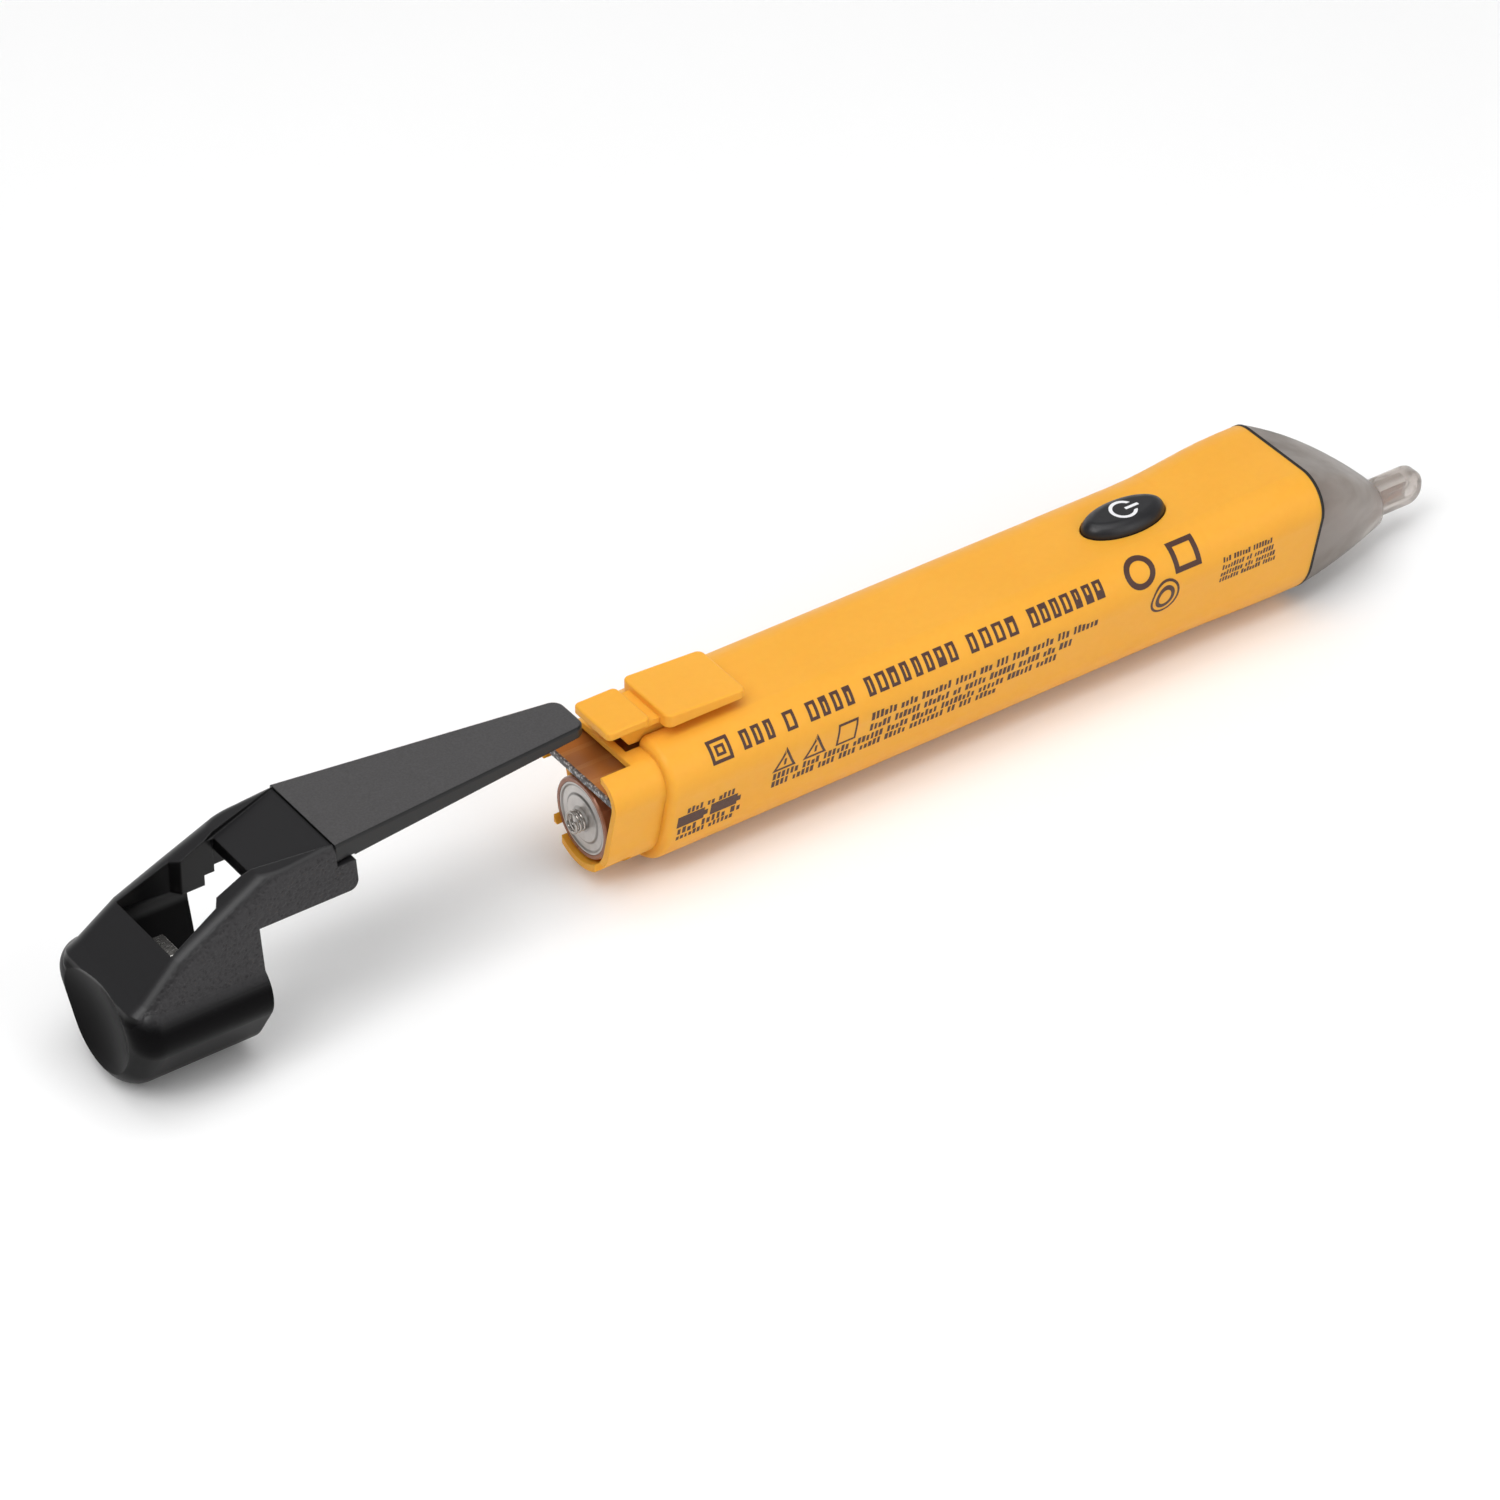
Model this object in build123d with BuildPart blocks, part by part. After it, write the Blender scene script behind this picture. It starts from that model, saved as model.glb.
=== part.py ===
"""Non contact voltage tester: a pen body with a sensing nose, a power button and a pull-off battery cap.

Millimetres. The origin is the end of the sensing tip, on the tip's axis. +X points out of the nose, so
every station of the body is negative, and +Z points out of the button side.
"""

import os
from math import cos, pi

from build123d import *

os.makedirs("parts", exist_ok=True)

# Datums
cell_end_x = -124.0  # negative face of the rear cell
axis_z = 2.4  # axis of the battery bore above the sensing tip

# Stations along X
spigot_x = cell_end_x - 0.5
shoulder_x = cell_end_x + 6.5
flare_start_x = cell_end_x + 82.0
flare_end_x = cell_end_x + 98.0
parting_x = cell_end_x + 100.8
seal_thickness = 0.4
nose_x = parting_x + seal_thickness
collar_x = cell_end_x + 116.3
plug_x = cell_end_x + 96.5

# Section of the body: half width, height of the flat top over the axis, low radius, corner radius
body_section = (9.1, 10.4, 7.6, 4.5)
front_section = (9.4, 11.3, 7.9, 4.2)
bore_section = (7.1, 8.4, 5.5, 2.5)
plug_section = (7.8, 9.5, 6.4, 3.0)
room_section = (6.8, 8.4, 5.4, 2.2)
bore_top = bore_section[1]
spigot_inset = 1.2
flare_steps = 6

# Cut-outs of the spigot: depth ahead of the cell's end, limits across, limits over the axis
spigot_notches = (
    (3.6, -4.9, 6.1, 7.0, 11.0),
    (2.6, 5.0, 10.0, -6.0, 4.6),
    (3.2, -8.5, -3.4, -8.0, -3.4),
    (2.6, 3.4, 8.5, -8.0, -3.4),
)

# Sensing tip
tip_height, tip_thickness, tip_round = 4.9, 2.7, 2.2
collar_radius, collar_edge = 3.3, 0.4
core_height, core_thickness = 2.6, 1.0
core_end_x = -2.6

# Cells
cell_radius, can_radius, cell_body, nub_radius, nub_length = 5.15, 5.0, 43.4, 2.75, 1.1
cell_pitch = 44.6
disc_radius = 4.5
spring_wire, spring_radius, spring_pitch, spring_length = 0.2, 1.2, 0.55, 1.3
spring_reach, spring_gap, boss_radius = spring_length + 2 * spring_wire + 0.02, 0.2, 1.6

# Board
board_half, board_z, board_thickness = 6.95, axis_z + 5.9, 0.8
board_top_z = board_z + board_thickness
board_front_x = cell_end_x + 103.0
board_neck_x = cell_end_x + 94.0
board_neck_half = 5.4

# Power button and its switch
button_x, button_length, button_width = cell_end_x + 77.8, 11.7, 6.2
button_base_z, button_top_z = axis_z + 9.0, axis_z + 11.9
button_gap, button_round = 0.15, 1.5
symbol_depth, symbol_radius, symbol_line = 0.15, 1.75, 0.45
switch_side, switch_height = 4.6, 1.2
plunger_radius, plunger_height = 1.1, 0.5

# Release latch
hinge_x, hinge_z, pin_radius = cell_end_x + 18.8, axis_z + 9.4, 0.6
slot_half, web_half, pin_half = 2.5, 2.2, 3.6
pad_top_z, pad_thickness, pad_round = axis_z + 13.6, 1.0, 0.25
thumb_corner, rail_corner = 0.7, 0.9
thumb_x0, thumb_x1, thumb_half = cell_end_x + 1.5, cell_end_x + 7.3, 3.65
rail_x0, rail_x1, rail_half = cell_end_x + 8.9, cell_end_x + 19.9, 4.7
rail_drop = 0.7

# Cap, drawn closed and moved back by its travel
cap_travel = 54.0
mouth_x = shoulder_x - 0.1
cap_end_x = cell_end_x - 10.5
seam_x, seam_z = cell_end_x + 17.0, axis_z + 17.0
cap_section = (10.1, 6.4, 8.1, 4.2)
cap_top, box_reach = cap_section[1], 12.0
tab_z, tab_end_x, tab_round = axis_z + 10.8, cell_end_x + 19.4, 1.2
cap_round, hood_round, hood_front_round, slide_gap = 3.2, 2.6, 1.2, 0.2
pocket_x = cell_end_x - 3.6
lip_z = axis_z + 13.8
opened = Location((-cap_travel, 0, 0))
hood_half_low, hood_half_high, hood_foot_z = 9.15, 6.9, axis_z + 1.2
channel_half, channel_top_z = 4.95, axis_z + 14.6
window_front_x, window_rear_x = cell_end_x + 7.8, cell_end_x - 3.85
window_half, panel_half = 3.85, 6.3
dish_sphere, dish_depth, dish_z = 17.0, 1.5, axis_z + 0.4

# Pocket clip
clip_length, clip_root, clip_tip, clip_corner, clip_gap = 36.0, 13.8, 6.2, 1.5, 0.08
clip_under_z, clip_tip_z, clip_relief = axis_z + 14.5, axis_z + 15.8, 0.2
lug_length, lug_height, lug_half = 2.1, 0.7, 1.5


def shield(x, half, top, low, corner, inset=0.0, drop=0.0):
    """Section at station x: the hull of a low circle on the bore axis and two top corners."""
    with BuildSketch(Plane.YZ.offset(x)) as section:
        with BuildLine():
            CenterArc((0, axis_z - drop), low - inset, 0, 360)
            for side in (-1, 1):
                centre = (side * (half - corner), axis_z + top - corner)
                CenterArc(centre, corner - inset, 0, 360)
        make_hull()
    return section.sketch


def flare(share):
    """Body section part way along the swelling in front of the button, 0 at its rear and 1 at its front."""
    grown = (1 - cos(pi * share)) / 2
    sizes = [a + grown * (b - a) for a, b in zip(body_section, front_section)]
    return shield(flare_start_x + share * (flare_end_x - flare_start_x), *sizes)


def save(part, name):
    """Labels one piece and writes its file."""
    part.label = name
    export_step(part, f"parts/{name}.step")


def bar(x0, x1, y0, y1, z0, z1, mode=Mode.ADD):
    """A box given by its limits."""
    with Locations(((x0 + x1) / 2, (y0 + y1) / 2, (z0 + z1) / 2)):
        Box(x1 - x0, y1 - y0, z1 - z0, mode=mode)


# ---- Body tube: constant shield section, a gentle flare at the nose, a stepped-in spigot at the rear
with BuildPart() as body_tube:
    extrude(shield(shoulder_x, *body_section), amount=flare_start_x - shoulder_x)
    fillet(body_tube.faces().sort_by(Axis.X)[0].edges(), 0.9)
    loft([flare(step / flare_steps) for step in range(flare_steps + 1)], ruled=True)
    extrude(shield(flare_end_x, *front_section), amount=parting_x - flare_end_x)
    extrude(shield(spigot_x, *body_section, inset=spigot_inset), amount=shoulder_x + 2 - spigot_x)
    # Battery bore and the wider seat of the nose plug
    extrude(shield(spigot_x - 1, *bore_section), amount=parting_x - spigot_x + 2, mode=Mode.SUBTRACT)
    extrude(shield(plug_x - 0.3, *plug_section), amount=parting_x - plug_x + 1, mode=Mode.SUBTRACT)
    # Cut-outs at the rear end of the spigot
    for depth, y0, y1, z0, z1 in spigot_notches:
        bar(spigot_x - 1, cell_end_x + depth, y0, y1, axis_z + z0, axis_z + z1, Mode.SUBTRACT)
    # Slot and blind pin pockets of the release latch
    bar(cell_end_x + 4.6, hinge_x + 1.6, -slot_half, slot_half, axis_z + 7, axis_z + 11, Mode.SUBTRACT)
    with BuildSketch(Plane.XZ):
        with Locations((hinge_x, hinge_z)):
            Circle(pin_radius + 0.08)
    extrude(amount=pin_half + 0.15, both=True, mode=Mode.SUBTRACT)
    # Opening of the power button
    with BuildSketch(Plane.XY.offset(axis_z + 7)):
        with Locations((button_x, 0)):
            Ellipse(button_length / 2 + button_gap, button_width / 2 + button_gap)
    extrude(amount=6, mode=Mode.SUBTRACT)
save(body_tube.part, "body_tube")

# ---- Nose seal: thin ring pinched between the body and the nose cone
with BuildPart() as nose_seal:
    extrude(shield(parting_x, *front_section, inset=-0.03), amount=seal_thickness)
    extrude(shield(parting_x - 1, *plug_section), amount=seal_thickness + 2, mode=Mode.SUBTRACT)
save(nose_seal.part, "nose_seal")

# ---- Nose cone: hollow translucent moulding with the flat sensing tip and the plug for the body
with BuildPart() as tip_blade:
    with BuildSketch(Plane.XZ):
        with Locations((collar_x / 2 - 1, 0)):
            RectangleRounded(2 - collar_x, tip_height, tip_round)
    extrude(amount=tip_thickness / 2, both=True)
    fillet(tip_blade.edges().filter_by(Plane.XZ).filter_by(lambda e: abs(e.center().Y) > 1), 0.8)
    for side in (-1, 1):
        with BuildSketch(Plane.XZ.offset(side * tip_thickness / 2)):
            with Locations((-3.6, 0)):
                SlotOverall(4.6, 1.9)
        extrude(amount=-side * 0.2, mode=Mode.SUBTRACT)

with BuildPart() as nose_cone:
    collar_section = (3.25, 0.9, collar_radius, 2.6)
    loft([
        shield(nose_x, *front_section),
        shield(cell_end_x + 109, 6.9, 6.7, 5.6, 3.3, drop=1.5),
        shield(collar_x - collar_edge, *collar_section, drop=axis_z),
    ])
    loft([
        shield(collar_x - collar_edge, *collar_section, drop=axis_z),
        shield(collar_x, *collar_section, drop=axis_z, inset=collar_edge),
    ])
    extrude(shield(plug_x, *plug_section, inset=0.1), amount=nose_x - plug_x + 0.5)
    # Room inside the plug and the cone
    extrude(shield(plug_x - 1, *room_section), amount=nose_x - plug_x + 1, mode=Mode.SUBTRACT)
    loft([
        shield(nose_x, *room_section),
        shield(cell_end_x + 108.5, 5.3, 5.3, 4.2, 2.2, drop=1.5),
        shield(cell_end_x + 113, 2.6, 0.8, 2.2, 1.4, drop=axis_z),
    ], mode=Mode.SUBTRACT)
    add(tip_blade.part)
    bar(cell_end_x + 112, core_end_x, -core_thickness / 2, core_thickness / 2,
        -core_height / 2, core_height / 2, Mode.SUBTRACT)
save(nose_cone.part, "nose_cone")

# ---- Sensing strip: flat copper blade from the board down into the tip
with BuildPart() as sensor_strip:
    with BuildSketch(Plane.XZ):
        with BuildLine():
            Polyline(
                (core_end_x - 0.3, 1.1), (cell_end_x + 111, 1.1), (cell_end_x + 102, board_z - 0.2),
                (cell_end_x + 100.5, board_z - 0.2), (cell_end_x + 100.5, board_z - 1.4),
                (cell_end_x + 110.2, -1.1), (core_end_x - 0.3, -1.1), close=True,
            )
        make_face()
    extrude(amount=0.25, both=True)
    bar(cell_end_x + 100.5, cell_end_x + 102, -0.25, 0.25, board_z - 0.3, board_z)
save(sensor_strip.part, "sensor_strip")

# ---- Circuit board, with a narrow front that passes through the nose plug
with BuildPart() as circuit_board:
    bar(cell_end_x, board_neck_x, -board_half, board_half, board_z, board_top_z)
    bar(board_neck_x - 1, board_front_x, -board_neck_half, board_neck_half, board_z, board_top_z)
    for x in (cell_end_x + 24, cell_end_x + 88):
        with Locations((x, board_half - 1.8, board_z)):
            Cylinder(0.8, 4, mode=Mode.SUBTRACT)
save(circuit_board.part, "circuit_board")

with BuildPart() as board_contact:
    bar(cell_end_x - 0.3, cell_end_x, -board_half + 0.15, board_half - 0.15, board_z - 0.05, board_top_z)
save(board_contact.part, "board_contact")


# ---- Parts on the board
def chip(x, y, length, width, height, pins, pitch):
    """A flat package with gull-wing legs along both long sides."""
    bar(x - length / 2, x + length / 2, y - width / 2, y + width / 2,
        board_top_z + 0.15, board_top_z + height)
    for side in (-1, 1):
        for pin in range(pins):
            px = x + (pin - (pins - 1) / 2) * pitch
            edge = y + side * (width / 2 + 0.35)
            bar(px - 0.18, px + 0.18, edge - 0.4, edge + 0.4, board_top_z, board_top_z + 0.3)


with BuildPart() as detector_chip:
    chip(cell_end_x + 63, 0.8, 5.0, 3.9, 1.4, 4, 1.27)
save(detector_chip.part, "detector_chip")

with BuildPart() as board_parts:
    for x, y in ((30, -3), (36, 2.4), (42, -1.5), (48, 3.2), (54, -3.4), (70, 3.4), (70, -2.6), (86, 0)):
        bar(cell_end_x + x - 1, cell_end_x + x + 1, y - 0.6, y + 0.6, board_top_z, board_top_z + 0.6)
save(board_parts.part, "board_parts")

with BuildPart() as switch_body:
    half = switch_side / 2
    bar(button_x - half, button_x + half, -half, half, board_top_z, board_top_z + switch_height)
    with Locations((button_x, 0, board_top_z + switch_height)):
        Cylinder(plunger_radius + 0.08, 0.8, mode=Mode.SUBTRACT)
save(switch_body.part, "switch_body")

with BuildPart() as switch_plunger:
    with BuildSketch(Plane.XY.offset(board_top_z + switch_height)):
        with Locations((button_x, 0)):
            Circle(plunger_radius)
    extrude(amount=plunger_height)
    chamfer(switch_plunger.faces().sort_by(Axis.Z)[-1].edges(), 0.15)
save(switch_plunger.part, "switch_plunger")

buzzer_x = cell_end_x + 96.0
with BuildPart() as buzzer:
    with BuildSketch(Plane.XY.offset(board_z)):
        with Locations((buzzer_x, 0)):
            Circle(4.3)
    extrude(amount=-3.8)
    fillet(buzzer.faces().sort_by(Axis.Z)[0].edges(), 0.4)
    with BuildSketch(Plane.XY.offset(board_z - 3.8)):
        with Locations((buzzer_x, 0)):
            Circle(0.9)
    extrude(amount=1.2, mode=Mode.SUBTRACT)
save(buzzer.part, "buzzer")


def lamp(y):
    """A forward-facing indicator lamp hanging under the board's front edge."""
    for x, radius, length in ((101.6, 1.75, 0.8), (102.4, 1.5, 1.6)):
        with Locations((cell_end_x + x + length / 2, y, board_z - 2.0)):
            Cylinder(radius, length, rotation=(0, 90, 0))
    with Locations((cell_end_x + 104.0, y, board_z - 2.0)):
        Sphere(1.5)
    for side in (-0.6, 0.6):
        bar(cell_end_x + 100.9, cell_end_x + 101.8, y + side - 0.2, y + side + 0.2, board_z - 2.2, board_z)


for name, y in (("alert_lamp", -2.6), ("power_lamp", 2.6)):
    with BuildPart() as indicator:
        lamp(y)
    save(indicator.part, name)


# ---- Two cells in series, positive ends toward the nose
def turned(points):
    """Solid of revolution about the bore axis from (station, radius) points."""
    with BuildSketch(Plane.XZ) as profile:
        with BuildLine():
            Polyline([(x, axis_z + radius) for x, radius in points], close=True)
        make_face()
    revolve(profile.sketch, axis=Axis((0, 0, axis_z), (1, 0, 0)))


def cell_can(x):
    """Steel can with its end disc, a shallow step ring and the positive nub."""
    tip = x + cell_body + nub_length
    turned([
        (x, 0), (x, 2.9), (x + 0.18, 3.1), (x + 0.18, disc_radius - 0.4), (x + 0.05, disc_radius - 0.3),
        (x + 0.05, disc_radius), (x + 0.35, disc_radius), (x + 0.35, can_radius),
        (x + cell_body - 0.3, can_radius), (x + cell_body - 0.3, nub_radius),
        (tip - 0.15, nub_radius), (tip, nub_radius - 0.15), (tip, 0),
    ])


def cell_jacket(x):
    """Printed sleeve wrapped over the rims of the can."""
    end = x + cell_body
    turned([
        (x, disc_radius + 0.04), (x, cell_radius - 0.15), (x + 0.2, cell_radius), (end - 0.2, cell_radius),
        (end, cell_radius - 0.15), (end, nub_radius + 1.2), (end - 0.25, nub_radius + 1.2),
        (end - 0.25, can_radius + 0.02), (x + 0.32, can_radius + 0.02), (x + 0.32, disc_radius + 0.04),
    ])


for name, x in (("rear_cell", cell_end_x), ("front_cell", cell_end_x + cell_pitch)):
    with BuildPart() as can:
        cell_can(x)
    save(can.part, name + "_can")
    with BuildPart() as jacket:
        cell_jacket(x)
    save(jacket.part, name + "_jacket")

# ---- Contacts: positive leaf and its carrier ahead of the cells, tail spring on the rear cell
contact_x = cell_end_x + cell_pitch + cell_body + nub_length + 0.02
with BuildPart() as positive_contact:
    bar(contact_x, contact_x + 0.3, -3, 3, axis_z - 3, board_z)
save(positive_contact.part, "positive_contact")

with BuildPart() as contact_carrier:
    extrude(shield(contact_x + 0.32, *bore_section, inset=0.1), amount=1.4)
    bar(contact_x, contact_x + 3, -9, 9, board_z - 0.05, axis_z + 12, Mode.SUBTRACT)
save(contact_carrier.part, "contact_carrier")

with BuildPart() as tail_spring:
    coil_start = (cell_end_x - spring_wire - 0.02, 0, axis_z)
    with BuildLine() as coil:
        Helix(spring_pitch, spring_length, spring_radius, center=coil_start, direction=(-1, 0, 0))
    with BuildSketch(Plane(coil.line @ 0, z_dir=coil.line % 0)):
        Circle(spring_wire)
    sweep(is_frenet=True)
save(tail_spring.part, "tail_spring")

# ---- Power button: domed oval of rubber with its inlaid mark, a gasket under the wall
def power_mark():
    """A broken ring with a bar through the gap, opening toward the nose."""
    with Locations((button_x, 0)):
        Circle(symbol_radius)
        Circle(symbol_radius - symbol_line, mode=Mode.SUBTRACT)
        with Locations((symbol_radius, 0)):
            Rectangle(symbol_radius * 1.6, 1.5, mode=Mode.SUBTRACT)
        with Locations((symbol_radius * 0.72, 0)):
            Rectangle(symbol_radius * 1.1, symbol_line)


with BuildPart() as power_button:
    with BuildSketch(Plane.XY.offset(button_base_z)):
        with Locations((button_x, 0)):
            Ellipse(button_length / 2, button_width / 2)
    extrude(amount=button_top_z - button_base_z)
    fillet(power_button.faces().sort_by(Axis.Z)[-1].edges(), button_round)
    with BuildSketch(Plane.XY.offset(button_top_z - symbol_depth)):
        power_mark()
    extrude(amount=1, mode=Mode.SUBTRACT)
save(power_button.part, "power_button")

with BuildPart() as button_mark:
    with BuildSketch(Plane.XY.offset(button_top_z - symbol_depth)):
        power_mark()
    extrude(amount=symbol_depth)
save(button_mark.part, "button_mark")

with BuildPart() as button_gasket:
    with BuildSketch(Plane.XY.offset(axis_z + bore_top)):
        with Locations((button_x, 0)):
            Ellipse(button_length / 2 + 1.6, button_width / 2 + 1.2)
            Ellipse(button_length / 2 + button_gap, button_width / 2 + button_gap, mode=Mode.SUBTRACT)
    extrude(amount=-0.5)
save(button_gasket.part, "button_gasket")

# ---- Release latch: thumb pad and guide rail on a spring web, pinned in the top wall
with BuildPart() as release_latch:
    with BuildSketch(Plane.XZ):
        with BuildLine():
            Polyline(
                (cell_end_x + 5.2, axis_z + 9.7), (hinge_x + 0.6, axis_z + 9.0), (hinge_x + 0.9, hinge_z),
                (hinge_x + 0.7, axis_z + 12.2), (rail_x0 - 0.85, axis_z + 12.7),
                (cell_end_x + 3.2, axis_z + 12.7), close=True,
            )
        make_face()
    extrude(amount=web_half, both=True)
    with BuildSketch(Plane.XZ):
        with Locations((hinge_x, hinge_z)):
            Circle(pin_radius)
    extrude(amount=pin_half, both=True)
    # Thumb pad
    with BuildSketch(Plane.XY.offset(pad_top_z - pad_thickness)):
        with Locations(((thumb_x0 + thumb_x1) / 2, 0)):
            RectangleRounded(thumb_x1 - thumb_x0, 2 * thumb_half, thumb_corner)
    extrude(amount=pad_thickness)
    # Guide rail, falling toward the nose
    with BuildSketch(Plane.XY.offset(pad_top_z - pad_thickness - rail_drop)):
        with Locations(((rail_x0 + rail_x1) / 2, 0)):
            RectangleRounded(rail_x1 - rail_x0, 2 * rail_half, rail_corner)
    extrude(amount=pad_thickness + rail_drop)
    with BuildSketch(Plane.XZ):
        with BuildLine():
            Polyline((rail_x0, pad_top_z), (rail_x1 + 1, pad_top_z - rail_drop), (rail_x1 + 1, pad_top_z + 1),
                     (rail_x0, pad_top_z + 1), close=True)
        make_face()
    extrude(amount=9, both=True, mode=Mode.SUBTRACT)
    # Bridge under the groove that takes the cap's lip
    bar(thumb_x1 - 0.6, rail_x0 + 0.6, -thumb_half + 0.5, thumb_half - 0.5,
        pad_top_z - pad_thickness - 0.6, pad_top_z - 0.9)
    pad_edges = release_latch.edges().filter_by_position(Axis.Z, pad_top_z - rail_drop - 0.1, pad_top_z + 0.1)
    fillet(pad_edges.filter_by(lambda e: e.length > 0.8), pad_round)
save(release_latch.part, "release_latch")


# ---- Cap: rounded lower shell under a tapering hood with a window for the thumb pad
with BuildPart() as cap_hood:
    with BuildSketch(Plane.XZ):
        with BuildLine():
            Polyline(
                (seam_x, seam_z), (window_front_x, seam_z - 0.8), (cell_end_x + 1.7, seam_z - 3.8),
                (window_rear_x, axis_z + 10.4), (cap_end_x + 1.9, axis_z + 6.4),
                (cap_end_x + 0.4, axis_z + 5.5), (cap_end_x, axis_z + 4.0), (cap_end_x, hood_foot_z),
                (mouth_x, hood_foot_z), (mouth_x, tab_z), (tab_end_x, tab_z),
                (tab_end_x, clip_under_z - 0.15), (seam_x, clip_under_z - 0.15), close=True,
            )
        make_face()
        fillet(vertices().filter_by(lambda v: v.X > seam_x + 1 and v.Y < tab_z + 0.5), tab_round)
    extrude(amount=hood_half_low + 1, both=True)
    with BuildSketch(Plane.YZ.offset(cap_end_x - 1)):
        with BuildLine():
            Polyline(
                (-hood_half_low, hood_foot_z), (hood_half_low, hood_foot_z),
                (hood_half_high, seam_z), (-hood_half_high, seam_z), close=True,
            )
        make_face()
    extrude(amount=tab_end_x - cap_end_x + 3, mode=Mode.INTERSECT)
    # Ridges: generously round behind the window's front edge, tighter ahead of it
    ridges = cap_hood.edges().filter_by(lambda e: abs((e % 0.5).Y) < 0.8 and e.center().Z > hood_foot_z + 0.1)
    rear_ridges = ridges.filter_by(lambda e: e.center().X < window_rear_x)
    middle_ridges = ridges.filter_by(
        lambda e: window_rear_x < e.center().X < window_front_x - 0.5 and e.center().Z > tab_z
    )
    fillet(rear_ridges + middle_ridges, hood_round)
    front_ridges = cap_hood.edges().filter_by(
        lambda e: abs((e % 0.5).Y) < 0.8 and window_front_x - 0.5 < e.center().X < seam_x
        and e.center().Z > seam_z - 3
    )
    fillet(front_ridges, hood_front_round)

with BuildPart() as cap_bowl:
    extrude(shield(cap_end_x, *cap_section), amount=mouth_x - cap_end_x)
    bar(cap_end_x - 1, mouth_x + 1, -box_reach, box_reach, axis_z + cap_top, axis_z + box_reach,
        Mode.SUBTRACT)
    fillet(cap_bowl.faces().sort_by(Axis.X)[0].edges(), cap_round)

# Room over the sunken panel, which spreads between the side ridges towards the clip
with BuildPart() as panel_room:
    with BuildSketch(Plane.XY.offset(seam_z - 3)):
        with BuildLine():
            Polyline(
                (window_front_x - 1, window_half), (seam_x, panel_half), (seam_x + 1, panel_half),
                (seam_x + 1, -panel_half), (seam_x, -panel_half), (window_front_x - 1, -window_half),
                close=True,
            )
        make_face()
    extrude(amount=5)
    with BuildSketch(Plane.XZ):
        with BuildLine():
            Polyline(
                (seam_x + 2, seam_z - 0.25), (seam_x, seam_z - 0.25), (window_front_x - 2, seam_z - 1.8),
                (window_front_x - 2, seam_z + 2), (seam_x + 2, seam_z + 2), close=True,
            )
        make_face()
    extrude(amount=panel_half + 1, both=True, mode=Mode.INTERSECT)

with BuildPart() as cap:
    add(cap_hood.part)
    add(cap_bowl.part)
    with Locations((cap_end_x + dish_depth - dish_sphere, 0, dish_z)):
        Sphere(dish_sphere, mode=Mode.SUBTRACT)
    # Pocket for the spigot and a cored-out end with a rib that backs the contact
    extrude(shield(pocket_x, *body_section, inset=spigot_inset - slide_gap), amount=20, mode=Mode.SUBTRACT)
    with Locations((pocket_x - 1.7, 0, axis_z)):
        Cylinder(4.6, 3.8, rotation=(0, 90, 0), mode=Mode.SUBTRACT)
    bar(pocket_x - 4, pocket_x, -0.7, 0.7, axis_z - 4.7, axis_z + 4.7)
    # Channel for the latch's rail, open toward the clip
    bar(window_front_x - 0.1, tab_end_x + 1, -channel_half, channel_half, axis_z + 8, channel_top_z,
        Mode.SUBTRACT)
    bar(window_front_x, window_front_x + 0.7, -channel_half, channel_half, lip_z, channel_top_z + 0.1)
    # Window over the thumb pad, wider behind it
    with BuildSketch(Plane.XY.offset(axis_z + 8)):
        with BuildLine():
            Polyline(
                (window_rear_x, 0), (window_rear_x, 5.9), (cell_end_x + 2.6, 5.0),
                (cell_end_x + 3.4, window_half), (window_front_x, window_half), (window_front_x, 0),
                close=True,
            )
        make_face()
        mirror(about=Plane.XZ)
    extrude(amount=12, mode=Mode.SUBTRACT)
    add(panel_room.part, mode=Mode.SUBTRACT)
save(cap.part.moved(opened), "cap_shell")

with BuildPart() as cap_contact:
    bar(pocket_x, pocket_x + 0.4, -3.0, 3.0, axis_z - 3.6, axis_z + 6.9)
    bar(pocket_x, cell_end_x - 0.45, -2.0, 2.0, axis_z + 6.5, axis_z + 6.9)
    fillet(cap_contact.edges().filter_by(Axis.X), 0.12)
    # Raised boss that meets the tail spring
    with BuildSketch(Plane.YZ.offset(pocket_x)):
        with Locations((0, axis_z)):
            Circle(boss_radius)
    extrude(amount=cell_end_x - spring_reach - spring_gap - pocket_x)
save(cap_contact.part.moved(opened), "cap_contact")

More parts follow.
